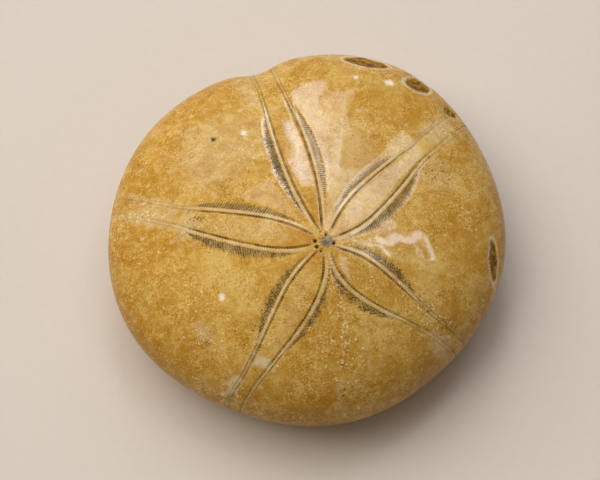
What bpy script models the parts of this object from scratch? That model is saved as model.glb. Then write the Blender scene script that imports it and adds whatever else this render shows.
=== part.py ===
"""A sand dollar: the solid, polished test of a domed sea urchin relative.

The test is one piece. Lengths are in millimetres and turned to metres at the end.
+Z is up, +Y is the front, where the rim has its notch. The crown of the dome sits behind the
middle of the base, and five petals of pore rows run from it to the rim.
"""

import bpy
import numpy as np

MM = 0.001

# Outline of the rim, seen from above
RIM_RADIUS = 24.6
GROWTH_WAVES = ((1, 0.56, 67.0), (2, 0.56, 16.3), (3, 0.29, 44.5), (4, 0.12, 52.8), (5, 0.27, 50.0))
NOTCH_DEPTH = 1.0
NOTCH_WIDTH_DEG = 7.0

# Side view
HEIGHT = 17.0
CROWN = (0.85, -4.65)
RIM_HEIGHT = 7.0
FRONT_LIFT = 0.7
CONE_POWER = 1.45
SHOULDER_POWER = 0.5

# Underside
FOOT_OUTER = 0.60
FOOT_INNER = 0.50
MOUTH = (0.5, -1.6)
MOUTH_EDGE = 0.15
MOUTH_DEPTH = 2.0
HOLLOW_DEPTH = 2.4
FURROW_DEPTH = 0.3
FURROW_HALF_WIDTH = 0.8
VENT_AT = (0.4, -19.6)
VENT_HALF_SIZE = (1.9, 1.2)
VENT_DEPTH = 0.9

# Petals, in turn from the front one: bearing of the midline at the crown, at half length, at the tip
# and at the rim; length; half width between the inner pore rows where it swells most, the share of
# the length where that is, how sharply it swells, and the share of the width kept as far as the rim;
# then the widths of the pore bands on its clockwise and anticlockwise sides
PETALS = (
    {"bearings": (90.0, 90.0, 90.5, 90.8), "length": 19.7, "half_width": 1.62, "peak": 0.68,
     "swell": 1.7, "tail": 0.72, "bands": (1.30, 1.50)},
    {"bearings": (155.5, 151.8, 150.2, 147.5), "length": 17.2, "half_width": 1.78, "peak": 0.48,
     "swell": 1.3, "tail": 0.55, "bands": (1.45, 1.75)},
    {"bearings": (236.0, 230.0, 226.0, 222.5), "length": 14.0, "half_width": 1.78, "peak": 0.55,
     "swell": 1.8, "tail": 0.42, "bands": (1.50, 1.25)},
    {"bearings": (299.0, 303.2, 307.8, 311.8), "length": 12.5, "half_width": 1.95, "peak": 0.57,
     "swell": 2.0, "tail": 0.42, "bands": (1.50, 1.50)},
    {"bearings": (386.5, 390.8, 392.1, 392.3), "length": 15.5, "half_width": 1.72, "peak": 0.53,
     "swell": 1.5, "tail": 0.60, "bands": (1.75, 1.30)},
)
ROW_DEPTH = 0.14
ROW_HALF_WIDTH = 0.14
RIDGE_RISE = 0.05
BAND_DEPTH = 0.11
RIDGE_SHARE = 0.42

# Worn hollows along the rim: bearing from the crown, distance, length round the rim, width, depth
CHIPS = (
    (62.5, 27.9, 5.8, 2.2, 0.5),
    (47.3, 26.9, 3.6, 2.5, 0.6),
    (345.0, 20.9, 5.4, 1.2, 0.5),
)

# How finely the surface is laid out
RINGS = (0.035, 0.07, 0.115, 0.17, 0.24, 0.31, 0.38, 0.45, 0.52, 0.59, 0.66, 0.73, 0.8,
         0.86, 0.91, 0.95, 0.98, 0.995)
SIDE_STEPS = 6
HOLLOW_RINGS = (0.42, 0.33, 0.25, 0.19, 0.15, 0.125, 0.09)
GAP_LINES = (9, 12, 12, 12, 9)
FAN_START = 2.5
FAN_LIMIT_DEG = 27.0


def rim_radius(bearing, notch=NOTCH_DEPTH):
    """Rim's distance from the middle of the base: a circle, plus a few slow waves, less the notch."""
    radius = np.full(np.shape(bearing), RIM_RADIUS)
    for waves, swell, crest in GROWTH_WAVES:
        radius = radius + swell * np.cos(waves * (bearing - np.radians(crest)))
    off_notch = np.degrees(bearing) - 90.0
    return radius - notch * np.exp(-((off_notch / NOTCH_WIDTH_DEG) ** 2))


def outline(notch):
    """Bearing and distance of the rim as seen from the crown, for looking distances up."""
    turn = np.radians(np.linspace(-90.0, 270.0, 1441))
    x = rim_radius(turn) * np.cos(turn)
    y = rim_radius(turn) * np.sin(turn)
    middle = ((x.max() + x.min()) / 2, (y.max() + y.min()) / 2)
    wide = rim_radius(turn, notch) / rim_radius(turn)
    x = x * wide - middle[0] - CROWN[0]
    y = y * wide - middle[1] - CROWN[1]
    return np.unwrap(np.arctan2(y, x)), np.hypot(x, y)


RIM_LINE = outline(NOTCH_DEPTH)
UNNOTCHED_LINE = outline(0.0)


def reach(bearing, line=RIM_LINE):
    """Distance from the crown to the rim along a bearing in radians."""
    start = line[0][0]
    wrapped = (bearing - start) % (2 * np.pi) + start
    return np.interp(wrapped, line[0], line[1], period=2 * np.pi)


def round_share(share, bearing):
    """Share of the way to a rim without the notch, turning to the true share near the rim, so that
    the notch dents the edge and doesn't plough a valley up to the crown."""
    plain = share * reach(bearing) / reach(bearing, UNNOTCHED_LINE)
    near = np.clip((share - 0.70) / 0.30, 0, 1)
    near = near * near * (3 - 2 * near)
    return plain + (share - plain) * near


def rim_height(bearing):
    """Height of the widest line of the test, a little higher at the front."""
    return RIM_HEIGHT + FRONT_LIFT * np.sin(bearing)


def dome_height(share, bearing):
    """A low cone with a rounded shoulder: the rise above the rim is (1 - share^a)^b of the whole."""
    low = rim_height(bearing)
    share = round_share(share, bearing)
    return low + (HEIGHT - low) * np.clip(1 - share**CONE_POWER, 0, 1) ** SHOULDER_POWER


def midline(petal, distance):
    """Bearing in radians of a petal's midline at a distance from the crown."""
    bearings, length = petal["bearings"], petal["length"]
    stations = (0.0, 0.5 * length, length, reach(np.radians(bearings[3])))
    return np.radians(np.interp(distance, stations, bearings))


def row_offset(petal, distance):
    """Half the gap between a petal's inner pore rows: (s e^(1-s))^n, which swells and closes again."""
    along = distance / (petal["length"] * petal["peak"])
    bloom = (along * np.exp(1 - along)) ** petal["swell"]
    return petal["half_width"] * np.where(along > 1, np.maximum(bloom, petal["tail"]), bloom)


def band_width(petal, side, distance):
    """Width of a pore band: nothing at the crown, widest past half length, nothing past the tip."""
    full = petal["bands"][1] if side > 0 else petal["bands"][0]
    along = np.clip(distance / petal["length"], 0, 1.03)
    return full * np.sin(np.pi * along**1.6 / 1.05) ** 0.7


def petal_relief(x, y):
    """Rise of the surface over the plain dome: pore rows sunk, a ridge beside each, bands sunk."""
    distance = np.hypot(x, y)
    bearing = np.arctan2(y, x)
    rise = np.zeros(np.shape(x))
    for petal in PETALS:
        turn = (bearing - midline(petal, distance) + np.pi) % (2 * np.pi) - np.pi
        across = distance * np.sin(turn)
        facing = np.abs(turn) < np.radians(60)
        for side in (-1, 1):
            width = band_width(petal, side, distance)
            out = side * across - row_offset(petal, distance)
            grown = np.clip(distance / 3.0, 0, 1) * facing
            row = ROW_DEPTH * np.exp(-((out / ROW_HALF_WIDTH) ** 2))
            ridge = RIDGE_RISE * np.exp(-(((out - 0.33) / 0.17) ** 2))
            middle = 0.71 * width
            half = 0.32 * width + 0.05
            band = BAND_DEPTH * np.exp(-(((out - middle) / half) ** 4)) * (width > 0.1)
            rise = rise + grown * (ridge - row - band * np.clip(width / 0.8, 0, 1))
    return rise


def chip_depth(x, y):
    """Depth of the worn hollows: a soft-edged oval lying along the rim for each."""
    depth = np.zeros(np.shape(x))
    for bearing, distance, length, width, deep in CHIPS:
        angle = np.radians(bearing)
        out = x * np.cos(angle) + y * np.sin(angle) - distance
        round_rim = y * np.cos(angle) - x * np.sin(angle)
        oval = (out / (0.5 * width)) ** 2 + (round_rim / (0.5 * length)) ** 2
        depth = depth + deep * np.exp(-(oval**1.5))
    return depth


def fan_bearings(share):
    """Bearings of the surface lines on one ring: they follow the pore rows and spread between petals."""
    fans = []
    for petal in PETALS:
        distance = max(share * reach(np.radians(petal["bearings"][3])), FAN_START)
        middle = midline(petal, distance)
        row = row_offset(petal, distance)
        lines = [middle]
        for side in (-1, 1):
            band = max(band_width(petal, side, distance), 0.4 + 0.03 * distance)
            steps = (row - 0.2, row, row + 0.12, row + RIDGE_SHARE * band, row + 0.71 * band, row + band)
            angles = np.arcsin(np.array(steps) / distance)
            angles = angles * min(1.0, np.radians(FAN_LIMIT_DEG) / angles[-1])
            lines.extend(middle + side * angles)
        fans.append(np.sort(lines))
    bearings = []
    for index, fan in enumerate(fans):
        bearings.extend(fan)
        following = fans[(index + 1) % len(fans)][0]
        gap = (following - fan[-1]) % (2 * np.pi)
        count = GAP_LINES[index]
        bearings.extend(fan[-1] + gap * np.arange(1, count + 1) / (count + 1))
    return np.array(bearings)


def top_ring(share):
    """One ring of the dome, as x, y about the crown and z."""
    bearing = fan_bearings(share)
    x = share * reach(bearing) * np.cos(bearing)
    y = share * reach(bearing) * np.sin(bearing)
    z = dome_height(share, bearing)
    if share < 1:
        z = z + petal_relief(x, y) * np.clip((1 - share) / 0.05, 0, 1)
        z = z - chip_depth(x, y)
    return np.column_stack((x + CROWN[0], y + CROWN[1], z))


def underside_relief(x, y, share):
    """Lift of the underside: five furrows from the mouth towards the petals' ends, and the vent."""
    lift = np.zeros(np.shape(x))
    fade = np.clip((share - 0.15) / 0.1, 0, 1) * np.clip((0.97 - share) / 0.2, 0, 1)
    for petal in PETALS:
        end = np.radians(petal["bearings"][3])
        to_x = CROWN[0] + reach(end) * np.cos(end) - MOUTH[0]
        to_y = CROWN[1] + reach(end) * np.sin(end) - MOUTH[1]
        length = np.hypot(to_x, to_y)
        along = ((x - MOUTH[0]) * to_x + (y - MOUTH[1]) * to_y) / length
        across = ((y - MOUTH[1]) * to_x - (x - MOUTH[0]) * to_y) / length
        furrow = FURROW_DEPTH * np.exp(-((across / FURROW_HALF_WIDTH) ** 4))
        lift = lift + furrow * (along > 0) * fade
    oval = ((x - VENT_AT[0]) / VENT_HALF_SIZE[0]) ** 2 + ((y - VENT_AT[1]) / VENT_HALF_SIZE[1]) ** 2
    return lift + VENT_DEPTH * np.exp(-(oval**1.5))


def lower_rings(rim):
    """Rings from the rim round the side, over the flat foot and up into the hollow round the mouth."""
    out = rim[:, :2] - MOUTH
    rings = []
    shares = []
    for step in range(1, SIDE_STEPS + 1):
        turn = 0.5 * np.pi * step / SIDE_STEPS
        share = FOOT_OUTER + (1 - FOOT_OUTER) * max(np.cos(turn), 0.0) ** 0.9
        rings.append(np.column_stack((MOUTH + share * out, rim[:, 2] * (1 - np.sin(turn)))))
        shares.append(share)
    for share in (FOOT_INNER, *HOLLOW_RINGS):
        bowl = HOLLOW_DEPTH * np.clip(1 - (share / FOOT_INNER) ** 2, 0, 1) ** 1.3
        bowl = bowl + MOUTH_DEPTH * np.clip(1 - (share / MOUTH_EDGE) ** 4, 0, 1)
        rings.append(np.column_stack((MOUTH + share * out, np.full(len(rim), bowl))))
        shares.append(share)
    for ring, share in zip(rings, shares):
        ring[:, 2] += underside_relief(ring[:, 0], ring[:, 1], share)
    return rings


def closed_surface():
    """Vertices and faces of the whole test: crown point, rings down and round, mouth point."""
    rings = [top_ring(share) for share in (*RINGS, 1.0)]
    rings = rings + lower_rings(rings[-1])
    around = len(rings[0])
    crown = (CROWN[0], CROWN[1], HEIGHT)
    throat = (MOUTH[0], MOUTH[1], HOLLOW_DEPTH + MOUTH_DEPTH)
    points = np.vstack((crown, *rings, throat))
    last = len(points) - 1
    index = 1 + np.arange(len(rings) * around).reshape(len(rings), around)
    following = np.roll(index, -1, axis=1)
    faces = [(0, index[0, k], following[0, k]) for k in range(around)]
    for ring in range(len(rings) - 1):
        for k in range(around):
            inner, inner_next = index[ring, k], following[ring, k]
            outer, outer_next = index[ring + 1, k], following[ring + 1, k]
            faces.append((inner, outer, outer_next, inner_next))
    faces.extend((index[-1, k], last, following[-1, k]) for k in range(around))
    return points, [tuple(int(corner) for corner in face) for face in faces]


def polished_calcite():
    """Honey-coloured calcite, ground and polished."""
    material = bpy.data.materials.new("polished_calcite")
    material.use_nodes = True
    shader = material.node_tree.nodes["Principled BSDF"]
    shader.inputs["Base Color"].default_value = (0.46, 0.26, 0.08, 1.0)
    shader.inputs["Roughness"].default_value = 0.25
    shader.inputs["Metallic"].default_value = 0.0
    return material


for old in list(bpy.data.objects):
    bpy.data.objects.remove(old, do_unlink=True)

test_points, test_faces = closed_surface()
middle = (test_points.max(axis=0) + test_points.min(axis=0)) / 2
test_points = test_points - (middle[0], middle[1], 0.0)
test_mesh = bpy.data.meshes.new("sand_dollar")
test_mesh.from_pydata((test_points * MM).tolist(), [], test_faces)
test_mesh.update()
test_mesh.materials.append(polished_calcite())
test = bpy.data.objects.new("sand_dollar", test_mesh)
bpy.context.scene.collection.objects.link(test)
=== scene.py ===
# %% [markdown]
# # A polished sand dollar
# A sand dollar is the test, or shell, of a flattened sea urchin. This one is old: it was buried,
# filled with calcite and turned to stone, and somebody ground and polished it until the flower of
# pores on its back stood out. It is one solid piece, so the whole lesson is one closed surface, the
# stone it is made of, and the light that shows both.

import bpy
import numpy as np
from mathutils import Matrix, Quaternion, Vector


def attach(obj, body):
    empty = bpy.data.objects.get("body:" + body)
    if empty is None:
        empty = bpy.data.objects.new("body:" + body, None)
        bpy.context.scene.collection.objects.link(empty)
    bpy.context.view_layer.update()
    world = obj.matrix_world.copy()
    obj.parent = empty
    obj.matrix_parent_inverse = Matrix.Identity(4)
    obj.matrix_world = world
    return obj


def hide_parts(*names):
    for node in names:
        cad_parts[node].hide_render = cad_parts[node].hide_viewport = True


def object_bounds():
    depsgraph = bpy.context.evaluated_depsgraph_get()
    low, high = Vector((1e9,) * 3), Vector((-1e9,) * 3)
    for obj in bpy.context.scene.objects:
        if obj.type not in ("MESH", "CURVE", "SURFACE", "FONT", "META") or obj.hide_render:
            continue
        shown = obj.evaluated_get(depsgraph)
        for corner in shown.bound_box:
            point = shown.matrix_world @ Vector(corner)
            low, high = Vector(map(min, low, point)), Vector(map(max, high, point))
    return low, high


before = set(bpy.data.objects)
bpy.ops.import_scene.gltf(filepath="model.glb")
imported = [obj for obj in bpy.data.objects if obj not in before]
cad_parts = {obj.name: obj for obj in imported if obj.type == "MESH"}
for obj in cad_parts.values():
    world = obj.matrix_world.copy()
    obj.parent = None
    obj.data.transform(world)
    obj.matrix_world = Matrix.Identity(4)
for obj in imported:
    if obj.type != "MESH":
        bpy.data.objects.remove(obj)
cad_low, cad_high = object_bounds()
MM = 0.001
print("frame box in mm", [round(1000 * v, 2) for v in (*cad_low, *cad_high)])

# %% [markdown]
# ## The outline
# Seen from above, the rim is nearly a circle. A real test grew a little unevenly, so a few slow waves
# are added to the circle's radius, and the front has a shallow notch where the front petal ends.
# A wave sum is used because it closes on itself with no seam.

# %% Outline of the rim
RIM_RADIUS = 24.6
GROWTH_WAVES = ((1, 0.56, 67.0), (2, 0.56, 16.3), (3, 0.29, 44.5), (4, 0.12, 52.8), (5, 0.27, 50.0))
NOTCH_DEPTH = 1.0
NOTCH_WIDTH_DEG = 7.0
CROWN = np.array((0.85, -4.65))  # where the petals meet, seen from the middle of the base


def smooth(value, low, high):
    """0 below low, 1 above high, and 3t^2 - 2t^3 between them, where t is the share of the way."""
    t = np.clip((value - low) / (high - low), 0, 1)
    return t * t * (3 - 2 * t)


def rim_radius(bearing, notch=NOTCH_DEPTH):
    """Rim's distance from the middle: a circle, plus slow cosine waves, less a bell-shaped notch."""
    radius = np.full(np.shape(bearing), RIM_RADIUS)
    for waves, swell, crest in GROWTH_WAVES:
        radius = radius + swell * np.cos(waves * (bearing - np.radians(crest)))
    off_notch = np.degrees(bearing) - 90.0
    return radius - notch * np.exp(-((off_notch / NOTCH_WIDTH_DEG) ** 2))


def outline(notch):
    """Bearing and distance of the rim as seen from the crown, at every quarter of a degree."""
    turn = np.radians(np.linspace(-90.0, 270.0, 1441))
    x = rim_radius(turn) * np.cos(turn)
    y = rim_radius(turn) * np.sin(turn)
    wide = rim_radius(turn, notch) / rim_radius(turn)
    x = x * wide - (x.max() + x.min()) / 2 - CROWN[0]
    y = y * wide - (y.max() + y.min()) / 2 - CROWN[1]
    return np.unwrap(np.arctan2(y, x)), np.hypot(x, y)


RIM_LINE = outline(NOTCH_DEPTH)
UNNOTCHED_LINE = outline(0.0)


def reach(bearing, line=RIM_LINE):
    """Distance from the crown to the rim along a bearing in radians."""
    return np.interp(bearing, line[0], line[1], period=2 * np.pi)


def round_share(share, bearing):
    """Share of the way to a rim without the notch, turning to the true share near the rim, so that
    the notch dents the edge and doesn't plough a valley up to the crown."""
    plain = share * reach(bearing) / reach(bearing, UNNOTCHED_LINE)
    return plain + (share - plain) * smooth(share, 0.70, 1.0)


print("rim from the crown: front, left, back, right", np.round(reach(np.radians([90, 180, 270, 0])), 1))

# %% [markdown]
# ## The dome
# From the side the test is a low cone with a rounded shoulder. Its height over the rim falls as
# (1 - share^a)^b, where share is 0 at the crown and 1 at the rim. With b at one half the slope is
# upright at the rim, so the dome rolls over into the side with no edge.

# %% Side view
HEIGHT = 17.0
RIM_HEIGHT = 7.0
FRONT_LIFT = 0.7
CONE_POWER = 1.45
SHOULDER_POWER = 0.5


def rim_height(bearing):
    """Height of the widest line of the test, a little higher at the front."""
    return RIM_HEIGHT + FRONT_LIFT * np.sin(bearing)


def dome_height(share, bearing):
    """A low cone with a rounded shoulder: the rise above the rim is (1 - share^a)^b of the whole."""
    low = rim_height(bearing)
    share = round_share(share, bearing)
    return low + (HEIGHT - low) * np.clip(1 - share**CONE_POWER, 0, 1) ** SHOULDER_POWER


print("height half way down the front", np.round(dome_height(0.5, np.pi / 2), 2))

# %% [markdown]
# ## The petals
# Five petals run from the crown to the rim. Each has a row of fine pores on either side of its
# midline, then a pale ridge, then a band of fine slits. The rows swell apart, close again at the
# petal's tip, and run on to the rim as thin paired lines. Every petal is a little different, so each
# has its own line of numbers: bearings of its midline, its length, how wide it swells and where.

# %% Petal shapes
# bearings: of the midline at the crown, at half length, at the tip and at the rim. half_width: from the
# midline to the inner row where the petal is widest. peak: share of the length where that is. swell:
# how sharply it widens. tail: share of the width kept to the rim. bands: widths of its two slit bands
PETALS = (
    {"bearings": (90.0, 90.0, 90.5, 90.8), "length": 19.7, "half_width": 1.62, "peak": 0.68,
     "swell": 1.7, "tail": 0.72, "bands": (1.30, 1.50)},
    {"bearings": (155.5, 151.8, 150.2, 147.5), "length": 17.2, "half_width": 1.78, "peak": 0.48,
     "swell": 1.3, "tail": 0.55, "bands": (1.45, 1.75)},
    {"bearings": (236.0, 230.0, 226.0, 222.5), "length": 14.0, "half_width": 1.78, "peak": 0.55,
     "swell": 1.8, "tail": 0.42, "bands": (1.50, 1.25)},
    {"bearings": (299.0, 303.2, 307.8, 311.8), "length": 12.5, "half_width": 1.95, "peak": 0.57,
     "swell": 2.0, "tail": 0.42, "bands": (1.50, 1.50)},
    {"bearings": (386.5, 390.8, 392.1, 392.3), "length": 15.5, "half_width": 1.72, "peak": 0.53,
     "swell": 1.5, "tail": 0.60, "bands": (1.75, 1.30)},
)


def midline(petal, distance):
    """Bearing in radians of a petal's midline at a distance from the crown."""
    bearings, length = petal["bearings"], petal["length"]
    stations = (0.0, 0.5 * length, length, reach(np.radians(bearings[3])))
    return np.radians(np.interp(distance, stations, bearings))


def row_offset(petal, distance):
    """Half the gap between a petal's inner pore rows: (s e^(1-s))^n, which swells and closes again."""
    along = distance / (petal["length"] * petal["peak"])
    bloom = (along * np.exp(1 - along)) ** petal["swell"]
    return petal["half_width"] * np.where(along > 1, np.maximum(bloom, petal["tail"]), bloom)


def band_width(petal, side, distance):
    """Width of a pore band: nothing at the crown, widest past half length, nothing past the tip."""
    full = np.where(side > 0, petal["bands"][1], petal["bands"][0])
    along = np.clip(distance / petal["length"], 0, 1.03)
    return full * np.sin(np.pi * along**1.6 / 1.05) ** 0.7


def petal_place(x, y):
    """Where a point lies in its nearest petal: across the midline, out from the pore row, band width,
    share of the petal's length, and which petal it is."""
    distance = np.hypot(x, y)
    bearing = np.arctan2(y, x)
    best = np.full(np.shape(x), np.pi)
    across = np.zeros(np.shape(x))
    out = np.full(np.shape(x), 9.0)
    width = np.zeros(np.shape(x))
    share = np.zeros(np.shape(x))
    which = np.zeros(np.shape(x))
    for index, petal in enumerate(PETALS):
        turn = (bearing - midline(petal, distance) + np.pi) % (2 * np.pi) - np.pi
        nearer = np.abs(turn) < best
        best = np.where(nearer, np.abs(turn), best)
        sideways = distance * np.sin(turn)
        across = np.where(nearer, sideways, across)
        out = np.where(nearer, np.abs(sideways) - row_offset(petal, distance), out)
        width = np.where(nearer, band_width(petal, turn, distance), width)
        share = np.where(nearer, distance / petal["length"], share)
        which = np.where(nearer, index, which)
    return across, out, width, share, which


print("petal lengths in mm", [petal["length"] for petal in PETALS])

# %% [markdown]
# ## Relief of the petals
# Polishing left the pore rows a little below the surface, with a slight ridge beside each and the
# band of slits a shade under the surface too. These are real dents in the mesh, a tenth of a millimetre
# deep at most, because a grazing light shows them; only the single pores are left to the material.

# %% Petal relief
ROW_DEPTH = 0.09
ROW_HALF_WIDTH = 0.14
RIDGE_RISE = 0.022
RIDGE_AT = 0.25
BAND_DEPTH = 0.045
BAND_MIDDLE = 0.71
SECOND_DEPTH = 0.02
SECOND_AT = 0.42


def bell(offset, half_width):
    """A bell curve, exp(-(offset / half width)^2)."""
    return np.exp(-((offset / half_width) ** 2))


def petal_relief(distance, place):
    """Rise over the plain dome: a bell-shaped groove on the row, a low ridge beside it, a sunken band,
    and past the petal's tip a second, finer groove."""
    _, out, width, share, _ = place
    opened = smooth(distance, 1.1, 2.8)
    at_tip = smooth(share, 0.95, 1.1)
    row = ROW_DEPTH * bell(out, ROW_HALF_WIDTH) * (1 - 0.75 * at_tip)
    ridge = RIDGE_RISE * bell(out - RIDGE_AT, 0.11) * (1 - 0.8 * at_tip)
    band = BAND_DEPTH * bell(out - BAND_MIDDLE * width, 0.42 * width + 0.05) * smooth(width, 0.15, 0.9)
    second = SECOND_DEPTH * bell(out - SECOND_AT, 0.1) * smooth(share, 0.98, 1.12)
    return opened * (ridge - row - band - second)


print("rows are", ROW_DEPTH, "mm deep, bands", BAND_DEPTH, "mm, second lines", SECOND_DEPTH, "mm")

# %% [markdown]
# ## Wear
# A few hollows lie along the far and right rim, where the stone broke out before it was polished. The
# crown has small holes round a sieve plate, and there are a few pits on the dome. Each is a soft-edged
# oval: its depth falls off as exp(-(distance/size)^3), which has a flat floor and a clear edge.

# %% Chips and pits
# bearing from the crown, distance, length round the rim, width, depth
CHIPS = (
    (62.5, 27.9, 5.8, 2.3, 0.50),
    (47.3, 26.9, 3.6, 2.6, 0.60),
    (35.6, 25.8, 2.2, 1.3, 0.35),
    (345.0, 20.9, 5.4, 1.2, 0.50),
)
# bearing, distance, radius, depth
PITS = (
    (116.6, 20.2, 0.40, 0.22),
    (106.4, 18.4, 0.42, 0.04),
    (64.2, 24.5, 0.40, 0.05),
    (54.5, 25.0, 0.62, 0.08),
    (190.4, 13.7, 0.45, 0.05),
    (286.9, 17.9, 0.35, 0.05),
)
# bearing, distance, radius, depth of the holes round the sieve plate
CROWN_HOLES = (
    (159.0, 1.12, 0.27, 0.30),
    (199.0, 1.12, 0.27, 0.26),
    (236.0, 1.25, 0.22, 0.16),
    (62.0, 0.95, 0.20, 0.22),
    (335.0, 1.15, 0.24, 0.24),
    (95.0, 1.35, 0.14, 0.12),
)


def oval(x, y, bearing, distance, long_half, wide_half):
    """Squared distance from a spot in units of its half sizes, the long way lying round the rim."""
    angle = np.radians(bearing)
    out = x * np.cos(angle) + y * np.sin(angle) - distance
    round_rim = y * np.cos(angle) - x * np.sin(angle)
    return (out / wide_half) ** 2 + (round_rim / long_half) ** 2


def ragged(x, y, seed):
    """Gentle unevenness, mostly between -1 and 1: a seeded sum of nine crossing sine waves, each
    0.7 to 3.2 mm long."""
    rng = np.random.default_rng(seed)
    total = np.zeros(np.shape(x))
    for _ in range(9):
        angle = rng.uniform(0, np.pi)
        length = rng.uniform(0.7, 3.2)
        phase = rng.uniform(0, 2 * np.pi)
        total = total + np.sin(2 * np.pi * (x * np.cos(angle) + y * np.sin(angle)) / length + phase)
    return total / 4.5


def hollows(x, y):
    """Depth of chips, pits and crown holes together, and how far into a chip a point is."""
    rough = ragged(x, y, 4)
    depth = np.zeros(np.shape(x))
    inside = np.full(np.shape(x), 9.0)
    for bearing, distance, length, width, deep in CHIPS:
        spot = oval(x, y, bearing, distance, 0.5 * length, 0.5 * width) * (1 + 0.22 * rough)
        depth = depth + deep * np.exp(-(np.maximum(spot, 0) ** 1.5)) * (1 + 0.25 * rough)
        inside = np.minimum(inside, spot)
    for bearing, distance, radius, deep in (*PITS, *CROWN_HOLES):
        spot = oval(x, y, bearing, distance, radius, radius)
        depth = depth + deep * np.exp(-(spot**1.5))
    return depth, inside


print("chips", len(CHIPS), "pits", len(PITS), "crown holes", len(CROWN_HOLES))

# %% [markdown]
# ## The underside
# Below the widest line the side rolls in to a flat ring, which is what the sand dollar rests on.
# Inside the ring the underside rises into a shallow hollow with the mouth near its middle, and five
# furrows, the animal's food grooves, run in from the rim. The vent is a small oval near the back.

# %% Underside
FOOT_OUTER = 0.60
FOOT_INNER = 0.50
MOUTH = np.array((0.5, -1.6))
MOUTH_EDGE = 0.15
MOUTH_DEPTH = 2.0
HOLLOW_DEPTH = 2.4
FURROW_DEPTH = 0.3
FURROW_HALF_WIDTH = 0.8
VENT_AT = (0.4, -19.6)
VENT_HALF_SIZE = (1.9, 1.2)
VENT_DEPTH = 0.9


def furrow_place(x, y):
    """Signed distance to the nearest furrow's line and distance along it, from the mouth."""
    nearest = np.full(np.shape(x), 9.0)
    along_it = np.zeros(np.shape(x))
    for petal in PETALS:
        end = np.radians(petal["bearings"][3])
        to = CROWN + reach(end) * np.array((np.cos(end), np.sin(end))) - MOUTH
        to = to / np.hypot(*to)
        along = (x - MOUTH[0]) * to[0] + (y - MOUTH[1]) * to[1]
        across = (y - MOUTH[1]) * to[0] - (x - MOUTH[0]) * to[1]
        nearer = (along > 0) & (np.abs(across) < np.abs(nearest))
        nearest = np.where(nearer, across, nearest)
        along_it = np.where(nearer, along, along_it)
    return nearest, along_it


def underside_relief(x, y, share):
    """Lift of the underside: flat-floored furrows that fade at both ends, and the vent."""
    fade = np.clip((share - 0.15) / 0.1, 0, 1) * np.clip((0.97 - share) / 0.2, 0, 1)
    across, along = furrow_place(x, y)
    lift = FURROW_DEPTH * np.exp(-((across / FURROW_HALF_WIDTH) ** 4)) * fade
    spot = ((x - VENT_AT[0]) / VENT_HALF_SIZE[0]) ** 2 + ((y - VENT_AT[1]) / VENT_HALF_SIZE[1]) ** 2
    return lift + VENT_DEPTH * np.exp(-(spot**1.5))


print("from the resting face up to the throat in mm", HOLLOW_DEPTH + MOUTH_DEPTH)

# %% [markdown]
# ## One closed surface
# The rings start at the crown, run over the rim and the foot, and end in the mouth, and every ring
# has the same number of points, so the whole test is one grid with a point at each end. Rings lie
# closer together at the crown, where the holes are, and at the rim, where it turns over.

# %% Rings of the dome
COLUMNS = 580
UNEVENNESS = 0.016  # how far hand grinding leaves the dome from smooth, in mm
# shares of the way from the crown to the rim
TOP_SHARES = np.concatenate((
    np.linspace(0.004, 0.085, 22, endpoint=False),
    np.linspace(0.085, 0.90, 84, endpoint=False),
    1 - 0.10 * np.linspace(1, 0, 22) ** 1.7,
))

bearing = np.linspace(0, 2 * np.pi, COLUMNS, endpoint=False)
share, angle = np.meshgrid(TOP_SHARES, bearing, indexing="ij")
x = share * reach(angle) * np.cos(angle)
y = share * reach(angle) * np.sin(angle)
distance = np.hypot(x, y)
place = petal_place(x, y)
hollow, chip = hollows(x, y)
unevenness = UNEVENNESS * ragged(x / 2.6, y / 2.6, 11)
z = dome_height(share, angle)
z = z + petal_relief(distance, place) * np.clip((1 - share) / 0.05, 0, 1) - hollow
z = z + unevenness * np.clip((1 - share) / 0.1, 0, 1)
top = np.stack((x + CROWN[0], y + CROWN[1], z), axis=-1)
print("deepest hollow in mm", round(float(hollow.max()), 2))

# %% Rings of the side and the underside
SIDE_TURNS = np.linspace(0, np.pi / 2, 15)[1:]
HOLLOW_SHARES = np.concatenate((np.linspace(FOOT_INNER, 0.17, 12), np.linspace(0.158, 0.03, 9)))

rim = top[-1]
side_share = FOOT_OUTER + (1 - FOOT_OUTER) * np.maximum(np.cos(SIDE_TURNS), 0) ** 0.9
lower_share = np.concatenate((side_share, HOLLOW_SHARES))
lower_xy = MOUTH + lower_share[:, None, None] * (rim[None, :, :2] - MOUTH)
bowl = HOLLOW_DEPTH * np.clip(1 - (HOLLOW_SHARES / FOOT_INNER) ** 2, 0, 1) ** 1.3
bowl = bowl + MOUTH_DEPTH * np.clip(1 - (HOLLOW_SHARES / MOUTH_EDGE) ** 4, 0, 1)
lower_z = np.concatenate((
    rim[None, :, 2] * (1 - np.sin(SIDE_TURNS))[:, None],
    np.repeat(bowl[:, None], COLUMNS, axis=1),
))
lower_z = lower_z + underside_relief(lower_xy[..., 0], lower_xy[..., 1], lower_share[:, None])
lower = np.concatenate((lower_xy, lower_z[..., None]), axis=-1)
print("rings of the dome", len(top), "rings below the rim", len(lower))

# %% Put the rings together
grid = np.concatenate((top, lower))
rings = len(grid)
points = np.concatenate((
    [(CROWN[0], CROWN[1], HEIGHT)],
    grid.reshape(-1, 3),
    [(MOUTH[0], MOUTH[1], HOLLOW_DEPTH + MOUTH_DEPTH)],
))
print("rings", rings, "columns", COLUMNS, "triangles", 2 * COLUMNS * rings)

# %% [markdown]
# The finished surface takes exactly the frame's box: each axis is stretched by a few parts in ten
# thousand, which no eye sees, so that the part that is shown and the part that is simulated agree.

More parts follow.
